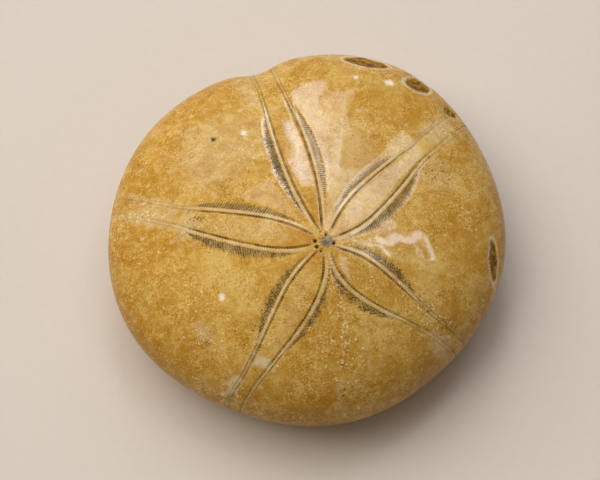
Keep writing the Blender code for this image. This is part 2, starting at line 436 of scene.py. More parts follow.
# %% Fit to the frame
low = np.array(cad_low) / MM
high = np.array(cad_high) / MM
have_low, have_high = points.min(axis=0), points.max(axis=0)
stretch = (high - low) / (have_high - have_low)
points = low + (points - have_low) * stretch
print("stretch on each axis", np.round(stretch, 5))

# %% Faces and the mesh
index = 1 + np.arange(rings * COLUMNS).reshape(rings, COLUMNS)
onward = np.roll(index, -1, axis=1)
quads = np.stack((index[:-1], index[1:], onward[1:], onward[:-1]), axis=-1).reshape(-1, 4)
crown_fan = np.stack((np.zeros(COLUMNS, int), index[0], onward[0]), axis=-1)
mouth_fan = np.stack((index[-1], np.full(COLUMNS, len(points) - 1), onward[-1]), axis=-1)

corners = np.concatenate((quads.ravel(), crown_fan.ravel(), mouth_fan.ravel())).astype(np.int32)
sizes = np.concatenate((np.full(len(quads), 4), np.full(2 * COLUMNS, 3))).astype(np.int32)
starts = (np.cumsum(sizes) - sizes).astype(np.int32)

mesh = bpy.data.meshes.new("sand_dollar_test")
mesh.vertices.add(len(points))
mesh.vertices.foreach_set("co", (points * MM).astype(np.float32).ravel())
mesh.loops.add(len(corners))
mesh.loops.foreach_set("vertex_index", corners)
mesh.polygons.add(len(sizes))
mesh.polygons.foreach_set("loop_start", starts)
mesh.polygons.foreach_set("use_smooth", np.ones(len(sizes), bool))
mesh.update(calc_edges=True)
print("mesh is sound:", not mesh.validate())

# %% [markdown]
# ## What the material needs to know
# The stone's pattern follows the petals, so each point carries its place: how far it is from the
# crown, how far out from its pore row, and how wide the slit band is there. Other values mark wear
# and sediment. They change slowly from point to point, so the mesh carries them without steps, and
# the material draws everything finer than that.

# %% Attributes
def add_attribute(name, first, second, third):
    """Stores three numbers on every point, each in the order crown, top rings, lower rings, mouth."""
    stored = mesh.attributes.new(name, "FLOAT_VECTOR", "POINT")
    values = np.stack((first, second, third), axis=-1)
    stored.data.foreach_set("vector", np.ascontiguousarray(values, np.float32).ravel())


def over_whole(top_values, lower_values, crown_value=0.0, mouth_value=0.0):
    """One value for each point, from the values of the top, of the lower side and of the two ends."""
    lower_values = np.broadcast_to(lower_values, lower_xy.shape[:2])
    return np.concatenate(([crown_value], top_values.ravel(), lower_values.ravel(), [mouth_value]))


across, out, width, _, which = place
which = which.astype(int)
furrow_across, furrow_along = furrow_place(lower_xy[..., 0], lower_xy[..., 1])
# Below the rim, the rows' small dents run along the walls of the furrows
FURROW_WALL = 0.55
add_attribute("pore_place",
              over_whole(distance, furrow_along),
              over_whole(out, np.abs(furrow_across) - FURROW_WALL, 0.0, 5.0),
              over_whole(width, 0.0))
print("points that carry values", len(points))

# %% [markdown]
# No two bands weathered alike. On some the slits are still crisp, on others they are smeared with
# grey sediment, and one is stained brown. Each petal has three numbers for each of its two bands.

# %% Look of each band
# for each petal, clockwise band then anticlockwise band: (crisp slits, dark sediment, brown stain)
BAND_LOOKS = (
    ((1.00, 0.65, 0.00), (0.25, 1.20, 0.05)),
    ((0.80, 0.85, 0.10), (0.45, 0.90, 0.15)),
    ((0.30, 0.95, 0.30), (0.25, 1.05, 0.40)),
    ((0.12, 0.80, 0.45), (0.20, 0.95, 0.25)),
    ((0.65, 0.95, 0.85), (0.60, 0.80, 0.05)),
)
look = np.array(BAND_LOOKS)[which, (across > 0).astype(int)]
add_attribute("band_look", *(over_whole(look[..., k], 0.0) for k in range(3)))

# Past its tip a petal runs on to the rim: how dark its lines stay there, and how pale their border is
TAIL_LOOKS = ((0.80, 0.25), (0.35, 0.50), (0.95, 0.45), (0.70, 0.25), (0.55, 0.35))
past = distance - np.array([petal["length"] for petal in PETALS])[which]
tail_on = smooth(past, -2.2, 0.3)
tail_dark = tail_on * np.array(TAIL_LOOKS)[which, 0] * (1 - 0.45 * smooth(past, 1.0, 6.0))
tail_pale = tail_on * np.array(TAIL_LOOKS)[which, 1]
row_on = smooth(distance, 1.2, 2.4) * (1 - tail_on) + tail_dark
add_attribute("tail_look", *(over_whole(values, 0.0) for values in (tail_dark, tail_pale, row_on)))
print("bands with a look of their own", 2 * len(BAND_LOOKS))

# %% [markdown]
# ## Seams, bruises and silt
# Pale patches, bruises and silt lie where chance put them, so they are listed one by one: each is a
# soft-edged oval given by its bearing and distance from the crown. A seam between two plates is a bent
# line through a few such points. Seeded sine waves keep the edges of both uneven.
# One faint pale zone is a painted reflection, not stone: it lightens the petal at bearing 32 near the crown,
# where a window's cream sheen lies.

# %% Patches and lines
def line_distance(x, y, stations):
    """Shortest distance to a bent line given by bearing and distance pairs from the crown."""
    angles = np.radians([s[0] for s in stations])
    lengths = np.array([s[1] for s in stations])
    px, py = lengths * np.cos(angles), lengths * np.sin(angles)
    nearest = np.full(np.shape(x), 99.0)
    for k in range(len(stations) - 1):
        dx, dy = px[k + 1] - px[k], py[k + 1] - py[k]
        t = np.clip(((x - px[k]) * dx + (y - py[k]) * dy) / (dx * dx + dy * dy), 0, 1)
        nearest = np.minimum(nearest, np.hypot(x - px[k] - t * dx, y - py[k] - t * dy))
    return nearest


def zones(spots, seed):
    """Soft-edged ovals of given strength, bearing, distance, length and width, with uneven edges."""
    level = np.zeros_like(x)
    uneven = 1 + 0.75 * ragged(1.4 * x, 1.4 * y, seed)
    for strength, at_bearing, at_distance, long_half, wide_half in spots:
        spot = oval(x, y, at_bearing, at_distance, long_half, wide_half) * uneven
        level = np.maximum(level, strength * (1 - smooth(spot, 0.2, 1.6)))
    return level


# Most of these are pale patches in the stone; the faint wide one at bearing 32 is painted sheen.
# strength, bearing, distance, half length round the rim, half width outward
PALE_AND_SHEEN_ZONES = (
    (0.85, 225.4, 15.6, 1.0, 0.7), (0.85, 219.9, 19.2, 0.8, 1.0), (0.30, 150.0, 21.5, 1.7, 4.2),
    (0.45, 153.0, 17.0, 1.9, 1.6), (0.50, 33.5, 21.8, 1.5, 2.6), (0.40, 97.6, 23.4, 0.8, 2.6),
    (0.45, 306.0, 17.6, 1.2, 1.3), (0.35, 199.8, 17.6, 1.5, 1.0), (0.45, 121.0, 23.8, 0.7, 0.7),
    (0.20, 32.0, 12.0, 1.3, 5.0), (0.30, 60.0, 12.0, 3.0, 6.0), (0.25, 20.0, 17.0, 2.5, 2.5),
    (0.25, 152.0, 9.5, 1.3, 6.0), (0.20, 229.0, 9.0, 1.2, 5.0), (0.20, 90.0, 13.0, 1.2, 5.0),
    (0.35, 118.0, 18.5, 6.0, 5.0),
)
DARK_SPECKS = (
    (1.0, 314.0, 13.8, 0.85, 2.6), (0.7, 312.3, 16.4, 0.9, 1.6), (0.8, 151.0, 16.2, 1.1, 0.9),
    (1.0, 99.3, 15.6, 0.7, 3.2), (0.5, 262.5, 16.2, 1.3, 1.6), (0.45, 22.0, 17.5, 2.2, 1.6),
    (0.3, 214.0, 12.0, 0.8, 3.0), (0.4, 120.0, 24.0, 0.5, 0.5),
)
PALE_SPECKS = (
    (0.9, 150.3, 22.8, 0.8, 2.6), (1.0, 313.6, 15.0, 1.0, 3.0), (0.5, 33.0, 22.5, 1.5, 1.5),
    (0.45, 2.0, 18.2, 3.6, 0.7), (0.5, 110.0, 15.5, 2.6, 1.6), (0.6, 219.9, 19.2, 1.0, 1.0),
    (0.5, 262.0, 16.0, 1.6, 2.2), (0.25, 262.0, 12.0, 4.5, 5.5), (0.22, 303.0, 8.0, 2.0, 3.5),
    (0.18, 196.0, 17.0, 5.0, 4.0),
)
print("pale patches", len(PALE_AND_SHEEN_ZONES), "patches of dark and pale specks", len(DARK_SPECKS) + len(PALE_SPECKS))

# %% Seams between plates
# bearing and distance of each point of the line
FRONT_SEAM = ((66.7, 21.3), (66.2, 18.9), (65.7, 15.7), (65.1, 12.7), (64.0, 9.8))
BACK_SEAM = ((266.6, 2.9), (268.8, 7.2), (267.3, 10.5), (265.5, 12.1), (262.4, 14.1), (260.5, 16.2),
             (259.0, 18.4))
SCRATCH = ((103.1, 21.7), (95.3, 22.2))
jitter = 0.25 * ragged(x, y, 21)
front_seam = line_distance(x, y, FRONT_SEAM)
back_seam = line_distance(x + 0.9 * jitter, y, BACK_SEAM)
seams = 0.45 * bell(front_seam, 0.14) + bell(back_seam, 0.30) * (0.35 + 0.65 * smooth(distance, 5.0, 11.0))
specks_more = np.clip(np.maximum(seams, zones(PALE_SPECKS, 5)), 0, 1)
seam_marks = 0.30 * bell(front_seam, 0.10) * smooth(ragged(x * 2, y * 2, 33), -0.5, 0.5)
crumbs = smooth(ragged(x * 2.6, y * 2.6, 31), 0.0, 0.6) * smooth(distance, 7.5, 11.0)
seam_marks = seam_marks + 0.7 * bell(back_seam, 0.16) * crumbs
scratch_marks = 0.7 * bell(line_distance(x, y, SCRATCH), 0.12)
print("nearest points of the grid to the two seams in mm", np.round([front_seam.min(), back_seam.min()], 2))

# %% Chips and bruises
# The smallest chip is worn too smooth to have a pale rim of its own
SMALLEST_CHIP = (0.50, 0.68)  # its bearings in radians
PALE_PITS = PITS[1:5]
chip_floor = 1 - smooth(chip, 0.70, 0.95)
bruises = 0.75 * smooth(chip, 0.80, 1.0) * (1 - smooth(chip, 1.10, 1.45))
bruises = bruises * np.where((angle > SMALLEST_CHIP[0]) & (angle < SMALLEST_CHIP[1]), 0.2, 1.0)
for bearing_deg, spot_distance, radius, _ in PALE_PITS:
    spot = oval(x, y, bearing_deg, spot_distance, radius, 0.8 * radius) * (1 + 0.8 * jitter)
    bruises = np.maximum(bruises, 1.5 * (1 - smooth(spot, 0.5, 1.3)))
for marks in (seam_marks, scratch_marks):
    bruises = np.maximum(bruises, marks)
add_attribute("wear", *(over_whole(values, 0.0) for values in (chip_floor, bruises, specks_more)))
add_attribute("lie",
              over_whole(share, 1.0 + (1 - lower_share)[:, None], 0.0, 2.0),
              over_whole(zones(PALE_AND_SHEEN_ZONES, 8), 0.15),
              over_whole(zones(DARK_SPECKS, 9), 0.0))
print("share of the dome's points on a chip's floor", round(float((chip_floor > 0.5).mean()), 4))

# %% [markdown]
# The crown is where the animal's five petals met round a grey sieve plate. The holes beside the plate
# are painted near black, and the stone between the inner rows is stained golden there.

# %% The crown
DARK_PIT = PITS[0]
PLATE_AT = (0.35, -0.05)  # from the crown, in mm
plate = 1 - smooth(np.hypot(x - PLATE_AT[0], y - PLATE_AT[1]) + 0.3 * jitter, 0.50, 1.02)
holes = np.zeros_like(x)
for bearing_deg, spot_distance, radius, deep in (*CROWN_HOLES, DARK_PIT):
    spot = oval(x, y, bearing_deg, spot_distance, 0.9 * radius, 0.9 * radius)
    holes = np.maximum(holes, (1 - smooth(spot, 0.3, 1.2)) * min(1.0, deep / 0.2))
GOLD_ON_PETALS = np.array((0.8, 1.0, 0.25, 0.25, 0.25))
gold = (1 - smooth(distance, 3.0, 7.5)) * smooth(distance, 0.8, 2.0) * (out < 0.0)
gold = gold * GOLD_ON_PETALS[which]
add_attribute("crown", over_whole(plate, 0.0, 1.0), over_whole(holes, 0.0), over_whole(gold, 0.0))
print("values stored on the mesh", [stored.name for stored in mesh.attributes if stored.name[0] != "."])

# %% [markdown]
# ## Polished calcite
# The stone is calcite, ground and buffed. To the eye that is a clear, glossy skin over a grainy body:
# honey and ochre clouds a few millimetres wide, with grains under half a millimetre, because every
# plate of a sea urchin turns into its own mosaic of crystals. Colours are written as sRGB hex and
# turned to the linear values that Blender works in.

# %% Colour and node helpers
def from_hex(code):
    """sRGB hex to linear RGBA: c/12.92 in the darks, ((c + 0.055)/1.055)^2.4 above them."""
    values = np.array([int(code[k : k + 2], 16) / 255 for k in (0, 2, 4)])
    linear = np.where(values <= 0.04045, values / 12.92, ((values + 0.055) / 1.055) ** 2.4)
    return (*linear.tolist(), 1.0)


def add(tree, kind, inputs=None, out=0, **settings):
    """Adds a node with its settings and gives back the named or numbered output. An input given as a
    socket is linked, anything else is set."""
    made = tree.nodes.new("ShaderNode" + kind)
    for name, value in settings.items():
        setattr(made, name, value)
    for key, value in (inputs or {}).items():
        if isinstance(value, bpy.types.NodeSocket):
            tree.links.new(value, made.inputs[key])
        else:
            made.inputs[key].default_value = value
    return made.outputs[out]


print("ochre as linear RGB", np.round(from_hex("C99B40")[:3], 3))

# %% [markdown]
# Every pattern starts from one of two places: the point's position on the object, which noises read, or
# the values stored on the mesh, which say where the point lies in its petal.

# %% Places and patterns
calcite = bpy.data.materials.new("polished_calcite")
calcite.use_nodes = True
tree = calcite.node_tree
tree.nodes.clear()

spot = add(tree, "TexCoord", out="Object")
places = {}
for name in ("pore_place", "band_look", "tail_look", "wear", "lie", "crown"):
    stored = add(tree, "Attribute", out="Vector", attribute_name=name)
    places[name] = add(tree, "SeparateXYZ", {"Vector": stored}).node.outputs
along, outward, band = places["pore_place"]
crisp, sediment, stain = places["band_look"]
tail_dark_level, tail_pale_level, row_on_level = places["tail_look"]
chip_level, bruise, speck_level = places["wear"]
to_rim, pale_and_sheen_level, dark_speck_level = places["lie"]
plate_level, hole_level, gold_level = places["crown"]
print("sets of stored values", len(places))

# %% Noises
# Scales are in waves per metre: 150 gives clouds about 7 mm across, 420 blotches of 2.4 mm, 260 patches
# of 4 mm, 1150 flakes of 0.9 mm, 3300 crystals of 0.3 mm and 4800 grains of 0.2 mm
CRYSTAL_SCALE = 3300.0
clouds = add(tree, "TexNoise", {"Vector": spot, "Scale": 150.0, "Detail": 3.0, "Roughness": 0.62,
                                "Distortion": 0.6})
blotches = add(tree, "TexNoise", {"Vector": spot, "Scale": 420.0, "Detail": 2.0, "Roughness": 0.50,
                                  "Distortion": 1.6})
grains = add(tree, "TexNoise", {"Vector": spot, "Scale": 4800.0, "Detail": 2.0, "Roughness": 0.70})
flakes = add(tree, "TexNoise", {"Vector": spot, "Scale": 1150.0, "Detail": 2.0, "Roughness": 0.7,
                                "Distortion": 0.8})
# Crystal outlines are bent by a quarter of a millimetre, so that no dot is round
bend = add(tree, "TexNoise", {"Vector": spot, "Scale": 2200.0, "Detail": 1.0}, out="Color")
bent = add(tree, "MixRGB", {0: 0.00045, 1: spot, 2: bend}, blend_type="ADD")
crystals = add(tree, "TexVoronoi", {"Vector": bent, "Scale": CRYSTAL_SCALE}).node
chance = add(tree, "SeparateColor", {"Color": crystals.outputs["Color"]}).node.outputs
print("crystals in mm across", round(1000 / CRYSTAL_SCALE, 2))

# %% [markdown]
# ## Body colour
# Noises of different size are laid over each other. The largest chooses between deep ochre and pale
# honey, the middle one adds honey and rusty blotches, and the finest two are crystal grain, which is
# stronger in some patches than in others. The stone is deeper in colour near the rim, where less of
# the outer crust was ground off. Each cell from here on works out masks between 0 and 1, and lists
# them with their colours. One loop at the end lays the colours over each other, in that order.

# %% Body colour
body = add(tree, "ValToRGB", {"Fac": clouds}).node
body.color_ramp.elements[0].position = 0.34
body.color_ramp.elements[0].color = from_hex("BA8628")
body.color_ramp.elements[1].position = 0.66
body.color_ramp.elements[1].color = from_hex("D8B566")
middle = body.color_ramp.elements.new(0.5)
middle.color = from_hex("C99B40")
rim_depth = add(tree, "MapRange", {"Value": to_rim, "From Min": 0.70, "From Max": 1.00, "To Max": 0.52})
honey = add(tree, "MapRange", {"Value": blotches, "From Min": 0.48, "From Max": 0.70, "To Max": 0.42})
rusty = add(tree, "MapRange", {"Value": blotches, "From Min": 0.48, "From Max": 0.30, "To Max": 0.34})
grit = add(tree, "Mix", {0: 0.30, 2: grains, 3: flakes})
coarse = add(tree, "TexNoise", {"Vector": spot, "Scale": 260.0, "Detail": 2.0, "Distortion": 1.0})
graininess = add(tree, "MapRange", {"Value": coarse, "From Min": 0.38, "From Max": 0.62, "To Min": 0.45,
                                    "To Max": 1.15})
light_grain = add(tree, "MapRange", {"Value": grit, "From Min": 0.50, "From Max": 0.66, "To Max": 0.80})
light_here = add(tree, "Math", {0: light_grain, 1: graininess}, operation="MULTIPLY", use_clamp=True)
dark_grain = add(tree, "MapRange", {"Value": grit, "From Min": 0.50, "From Max": 0.36, "To Max": 0.68})
dark_here = add(tree, "Math", {0: dark_grain, 1: graininess}, operation="MULTIPLY", use_clamp=True)
gilding = add(tree, "Math", {0: gold_level, 1: 0.6}, operation="MULTIPLY")
# Pale patches in the stone, with one patch of painted sheen among them, lighten the colour here
pale_and_sheen_patch = add(tree, "Math", {0: pale_and_sheen_level, 1: blotches}, operation="MULTIPLY")
pale_and_sheen_more = add(tree, "Math", {0: pale_and_sheen_patch, 1: 1.5}, operation="MULTIPLY", use_clamp=True)
layers = [
    (rim_depth, from_hex("A2701E")),
    (honey, from_hex("DDBC74")),
    (rusty, from_hex("A37420")),
    (light_here, from_hex("EEC775")),
    (dark_here, from_hex("9A6E20")),
    (gilding, from_hex("B87A18")),
    (pale_and_sheen_more, from_hex("DCC9A2")),
]
print("layers of body colour", len(layers))

# %% [markdown]
# ## Specks
# Pale specks are single crystals that catch the light, about 0.2 mm across. A Voronoi pattern gives
# each cell its own random colour: only cells whose red is over a threshold get a dot, and more of them
# do along the seams and at the petals' ends. Dark dots are silt, and are picked by the cell's green.

# %% Specks
dot = add(tree, "MapRange", {"Value": crystals.outputs["Distance"], "From Min": 0.52, "From Max": 0.26})
cluster = add(tree, "Math", {0: flakes, 1: 0.35, 2: chance[0]}, operation="MULTIPLY_ADD")
pale_chance = add(tree, "Math", {0: speck_level, 1: 0.50, 2: cluster}, operation="MULTIPLY_ADD")
pale_pick = add(tree, "MapRange", {"Value": pale_chance, "From Min": 1.16, "From Max": 1.25,
                                   "To Max": 0.90})
pale_dot = add(tree, "Math", {0: dot, 1: pale_pick}, operation="MULTIPLY")
dark_chance = add(tree, "Math", {0: dark_speck_level, 1: 0.40, 2: chance[1]}, operation="MULTIPLY_ADD")
dark_pick = add(tree, "MapRange", {"Value": dark_chance, "From Min": 0.96, "From Max": 1.02,
                                   "To Max": 0.80})
dark_dot = add(tree, "Math", {0: dot, 1: dark_pick}, operation="MULTIPLY")
layers += [(pale_dot, from_hex("F0DCB2")), (dark_dot, from_hex("3E2E16"))]
print("layers with specks", len(layers))

# %% [markdown]
# ## Pores in the stone
# The pore rows are lines of dark dots about a third of a millimetre apart. Beside each lies a pale
# ridge, then the band of slits, 0.3 mm apart. Each is drawn from the point's distance out from the
# row, so it stays sharp however coarse the mesh is, and the slits count along the petal. Noise that
# runs along the petal only makes each slit end at its own length, as the teeth of a worn comb do.

# %% Pore rows
PORE_PITCH = 0.34
SLIT_PITCH = 0.30
off_row = add(tree, "Math", {0: outward}, operation="ABSOLUTE")
row_line = add(tree, "MapRange", {"Value": off_row, "From Min": 0.06, "From Max": 0.21, "To Min": 1.0,
                                  "To Max": 0.0}, interpolation_type="SMOOTHSTEP")
bead_beat = add(tree, "Math", {0: along, 1: 2 * np.pi / PORE_PITCH}, operation="MULTIPLY")
bead_wave = add(tree, "Math", {0: bead_beat}, operation="SINE")
bead = add(tree, "MapRange", {"Value": bead_wave, "From Min": -1.0, "From Max": 0.5, "To Min": 0.60})
row = add(tree, "Math", {0: row_line, 1: bead}, operation="MULTIPLY")
print("pores along the longest petal", round(PETALS[0]["length"] / PORE_PITCH))

# %% Ridges and slit bands
comb_place = add(tree, "CombineXYZ", {0: along, 1: sediment, 2: crisp})
tooth = add(tree, "TexNoise", {"Vector": comb_place, "Scale": 2.6, "Detail": 2.0, "Roughness": 0.8})
patch = add(tree, "TexNoise", {"Vector": comb_place, "Scale": 0.55, "Detail": 2.0})
share_out = add(tree, "Math", {0: outward, 1: band}, operation="DIVIDE")
tooth_reach = add(tree, "Math", {0: tooth, 1: -0.9, 2: share_out}, operation="MULTIPLY_ADD")
ridge_line = add(tree, "MapRange", {"Value": outward, "From Min": 0.10, "From Max": 0.18},
                 interpolation_type="SMOOTHSTEP")
ridge_edge = add(tree, "MapRange", {"Value": outward, "From Min": 0.42, "From Max": 0.64, "To Min": 1.0,
                                    "To Max": 0.0}, interpolation_type="SMOOTHSTEP")
ridge = add(tree, "Math", {0: ridge_line, 1: ridge_edge}, operation="MULTIPLY")
band_in = add(tree, "MapRange", {"Value": outward, "From Min": 0.44, "From Max": 0.70},
              interpolation_type="SMOOTHSTEP")
band_out = add(tree, "MapRange", {"Value": tooth_reach, "From Min": 0.40, "From Max": 0.76, "To Min": 1.0,
                                  "To Max": 0.0}, interpolation_type="SMOOTHSTEP")
band_on = add(tree, "MapRange", {"Value": band, "From Min": 0.10, "From Max": 0.55},
              interpolation_type="SMOOTHSTEP")
band_span = add(tree, "Math", {0: band_in, 1: band_out}, operation="MULTIPLY")
comb = add(tree, "Math", {0: band_span, 1: band_on}, operation="MULTIPLY")
leaning = add(tree, "Math", {0: outward, 1: 0.12, 2: along}, operation="MULTIPLY_ADD")
slit_beat = add(tree, "Math", {0: leaning, 1: 2 * np.pi / SLIT_PITCH}, operation="MULTIPLY")
slit_shift = add(tree, "Math", {0: grains, 1: 2.2, 2: slit_beat}, operation="MULTIPLY_ADD")
slit_wave = add(tree, "Math", {0: slit_shift}, operation="SINE")
slit_crisp = add(tree, "MapRange", {"Value": slit_wave, "From Min": -0.1, "From Max": 0.7})
slit_grain = add(tree, "MapRange", {"Value": grit, "From Min": 0.42, "From Max": 0.54, "To Min": 1.0,
                                    "To Max": 0.0})
slit_mix = add(tree, "Mix", {0: crisp, 2: slit_grain, 3: slit_crisp})
slit = add(tree, "Math", {0: slit_mix, 1: comb}, operation="MULTIPLY")
print("slits along the longest petal", round(PETALS[0]["length"] / SLIT_PITCH))

# %% [markdown]
# Past the tip of a petal the band is gone, and a second fine line runs beside the row to the rim, on a
# paler strip.

# %% Lines past the tips
off_second = add(tree, "Math", {0: outward, 1: SECOND_AT}, operation="SUBTRACT")
second_gap = add(tree, "Math", {0: off_second}, operation="ABSOLUTE")
second_line = add(tree, "MapRange", {"Value": second_gap, "From Min": 0.03, "From Max": 0.13, "To Min": 1.0,
                                     "To Max": 0.0}, interpolation_type="SMOOTHSTEP")
second = add(tree, "Math", {0: second_line, 1: tail_dark_level}, operation="MULTIPLY")
beside = add(tree, "MapRange", {"Value": second_gap, "From Min": 0.25, "From Max": 0.75, "To Min": 1.0,
                                "To Max": 0.0}, interpolation_type="SMOOTHSTEP")
tail_strip = add(tree, "Math", {0: beside, 1: tail_pale_level}, operation="MULTIPLY")
print("second line in mm from the row", SECOND_AT)

# %% [markdown]
# The masks are broken up before they get a colour, so that no line is as even as a drawn one: ridges
# are worn away in patches and nicked by the slits, and the silt is densest near the row.

# %% Colours over the pores
strip_patch = add(tree, "MapRange", {"Value": flakes, "From Min": 0.40, "From Max": 0.60, "To Min": 0.05,
                                     "To Max": 0.65})
strip_level = add(tree, "Math", {0: tail_strip, 1: strip_patch}, operation="MULTIPLY")
ridge_fade = add(tree, "MapRange", {"Value": patch, "From Min": 0.35, "From Max": 0.65, "To Min": 0.62,
                                    "To Max": 0.20})
ridge_nick = add(tree, "MapRange", {"Value": slit_wave, "From Min": -1.0, "From Max": 1.0, "To Min": 1.0,
                                    "To Max": 0.45})
ridge_notched = add(tree, "Math", {0: ridge_fade, 1: ridge_nick}, operation="MULTIPLY")
ridge_left = add(tree, "Math", {0: ridge, 1: band_on}, operation="MULTIPLY")
ridge_level = add(tree, "Math", {0: ridge_left, 1: ridge_notched}, operation="MULTIPLY")
patchy = add(tree, "MapRange", {"Value": patch, "From Min": 0.35, "From Max": 0.60, "To Min": 0.62})
silt_level = add(tree, "Math", {0: patchy, 1: sediment}, operation="MULTIPLY")
silt_fade = add(tree, "MapRange", {"Value": share_out, "From Min": 0.55, "From Max": 1.0, "To Min": 1.0,
                                   "To Max": 0.60})
silt_grain = add(tree, "MapRange", {"Value": grit, "From Min": 0.42, "From Max": 0.58, "To Min": 1.0,
                                    "To Max": 0.62})
silt_clots = add(tree, "Math", {0: silt_fade, 1: silt_grain}, operation="MULTIPLY")
silt_here = add(tree, "Math", {0: comb, 1: silt_clots}, operation="MULTIPLY")
silt_mask = add(tree, "Math", {0: silt_level, 1: silt_here}, operation="MULTIPLY", use_clamp=True)
silt_colour = add(tree, "Mix", {0: stain, 6: from_hex("766648"), 7: from_hex("72582C")}, out=2,
                  data_type="RGBA")
slit_level = add(tree, "MapRange", {"Value": patch, "From Min": 0.35, "From Max": 0.60, "To Min": 0.70})
slit_mask = add(tree, "Math", {0: slit, 1: slit_level}, operation="MULTIPLY")
slit_colour = add(tree, "Mix", {0: stain, 6: from_hex("40321E"), 7: from_hex("5A3E14")}, out=2,
                  data_type="RGBA")
row_patch = add(tree, "MapRange", {"Value": blotches, "From Min": 0.30, "From Max": 0.60, "To Min": 1.0,
                                   "To Max": 0.55})
row_fade = add(tree, "Math", {0: row_on_level, 1: row_patch}, operation="MULTIPLY")
row_level = add(tree, "Math", {0: row, 1: row_fade}, operation="MULTIPLY")
line_patch = add(tree, "MapRange", {"Value": flakes, "From Min": 0.38, "From Max": 0.58, "To Min": 0.25,
                                    "To Max": 0.95})
second_level = add(tree, "Math", {0: second, 1: line_patch}, operation="MULTIPLY")
layers += [
    (strip_level, from_hex("D9C49A")),
    (ridge_level, from_hex("E6D3AA")),
    (silt_mask, silt_colour),
    (slit_mask, slit_colour),
    (row_level, from_hex("3A280F")),
    (second_level, from_hex("6B5330")),
]
print("layers with the petals", len(layers))

# %% [markdown]
# Wear comes last, over everything: chips show the rough golden-brown inside, bruises and the rims of
# chips are pale, the sieve plate at the crown is grey, and the holes are painted near black.

# %% Colours over the wear
chip_tint = add(tree, "MapRange", {"Value": flakes, "From Min": 0.40, "From Max": 0.62})
chip_colour = add(tree, "Mix", {0: chip_tint, 6: from_hex("644612"), 7: from_hex("AC7A28")}, out=2,
                  data_type="RGBA")
rim_level = add(tree, "Math", {0: bruise, 1: 0.65}, operation="MULTIPLY", use_clamp=True)
plate_fade = add(tree, "Math", {0: plate_level, 1: 0.85}, operation="MULTIPLY")
plate_spots = add(tree, "MapRange", {"Value": grit, "From Min": 0.42, "From Max": 0.58})
plate_colour = add(tree, "Mix", {0: plate_spots, 6: from_hex("5E5748"), 7: from_hex("938B78")}, out=2,
                   data_type="RGBA")
hole_fade = add(tree, "Math", {0: hole_level, 1: 0.95}, operation="MULTIPLY")
layers += [
    (chip_level, chip_colour),
    (rim_level, from_hex("F2E6CC")),
    (plate_fade, plate_colour),
    (hole_fade, from_hex("1C1208")),
]
print("layers with the wear", len(layers))

# %% Lay the colours over each other
colour = body.outputs["Color"]
for level, tint in layers:
    colour = add(tree, "Mix", {0: level, 6: colour, 7: tint}, out=2, data_type="RGBA")
print("nodes so far", len(tree.nodes))

# %% [markdown]
# ## The polish
# Buffing gives calcite a clear gloss, drawn as a coat with a low roughness over a duller body. Rows,
# silt, chips and holes could not be reached by the buff, and the rim was buffed less, so the coat thins
# there. Calcite's IOR is near 1.6: the coat's was matched at 1.55, and the grainy body under it reflects
# little of its own. The bump is the same slits and dots as the colours, a few hundredths of a
# millimetre deep, with a faint grain that breaks the gloss up.

# %% Bump and roughness
dull_band = add(tree, "Math", {0: comb, 1: 0.15, 2: 0.38}, operation="MULTIPLY_ADD")
dull_row = add(tree, "Math", {0: row, 1: 0.25, 2: dull_band}, operation="MULTIPLY_ADD")
dull_chip = add(tree, "Math", {0: chip_level, 1: 0.30, 2: dull_row}, operation="MULTIPLY_ADD")
BUMP_DEPTH = 0.00004
SKIN_DEPTH = 0.00001
sunk_rows = add(tree, "Math", {0: row, 1: -0.8}, operation="MULTIPLY")
sunk_slits = add(tree, "Math", {0: slit, 1: -0.7, 2: sunk_rows}, operation="MULTIPLY_ADD")
relief = add(tree, "Math", {0: grains, 1: 0.25, 2: sunk_slits}, operation="MULTIPLY_ADD")
bump = add(tree, "Bump", {"Strength": 1.0, "Distance": BUMP_DEPTH, "Height": relief})
skin = add(tree, "Math", {0: flakes, 1: 1.2, 2: relief}, operation="MULTIPLY_ADD")
skin_bump = add(tree, "Bump", {"Strength": 0.5, "Distance": SKIN_DEPTH, "Height": skin})
print("bump depth in mm", 1000 * BUMP_DEPTH)

# %% Coat and shader
clogged = add(tree, "Math", {0: silt_mask, 1: silt_mask}, operation="MULTIPLY")
bare_hole = add(tree, "Math", {0: chip_level, 1: hole_level}, operation="ADD")
bare_hollow = add(tree, "Math", {0: clogged, 1: bare_hole}, operation="ADD")
bare_rim = add(tree, "Math", {0: rim_depth, 1: 1.5, 2: bare_hollow}, operation="MULTIPLY_ADD")
unpolished = add(tree, "Math", {0: row, 1: 0.5, 2: bare_rim}, operation="MULTIPLY_ADD", use_clamp=True)
gloss = add(tree, "MapRange", {"Value": unpolished, "To Min": 0.75, "To Max": 0.10})
shader = add(tree, "BsdfPrincipled", {
    "Base Color": colour,
    "Roughness": dull_chip,
    "IOR": 1.45,
    "Specular IOR Level": 0.14,
    "Coat Weight": gloss,
    "Coat Roughness": 0.05,
    "Coat IOR": 1.55,
    "Normal": bump,
    "Coat Normal": skin_bump,
})
output = tree.nodes.new("ShaderNodeOutputMaterial")
tree.links.new(shader, output.inputs["Surface"])
print("stone material has", len(tree.nodes), "nodes")

# %% [markdown]
# ## Onto the frame
# The mesh already holds its place, so the object stays at the origin, unturned. It rides on the one
# body of the part and stands for the plain solid.

# %% Place the test on the frame
test = bpy.data.objects.new("sand_dollar_test", mesh)
bpy.context.scene.collection.objects.link(test)
mesh.materials.append(calcite)
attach(test, "root")
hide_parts("sand_dollar")
print("placed", test.name, "with", len(mesh.polygons), "faces")

# %% [markdown]
# ## Stage, light and camera
# The sand dollar lies on a plain pale sheet, indoors, near windows. What makes polished stone look
# polished is what it mirrors, so most of the lamps here are window panes.

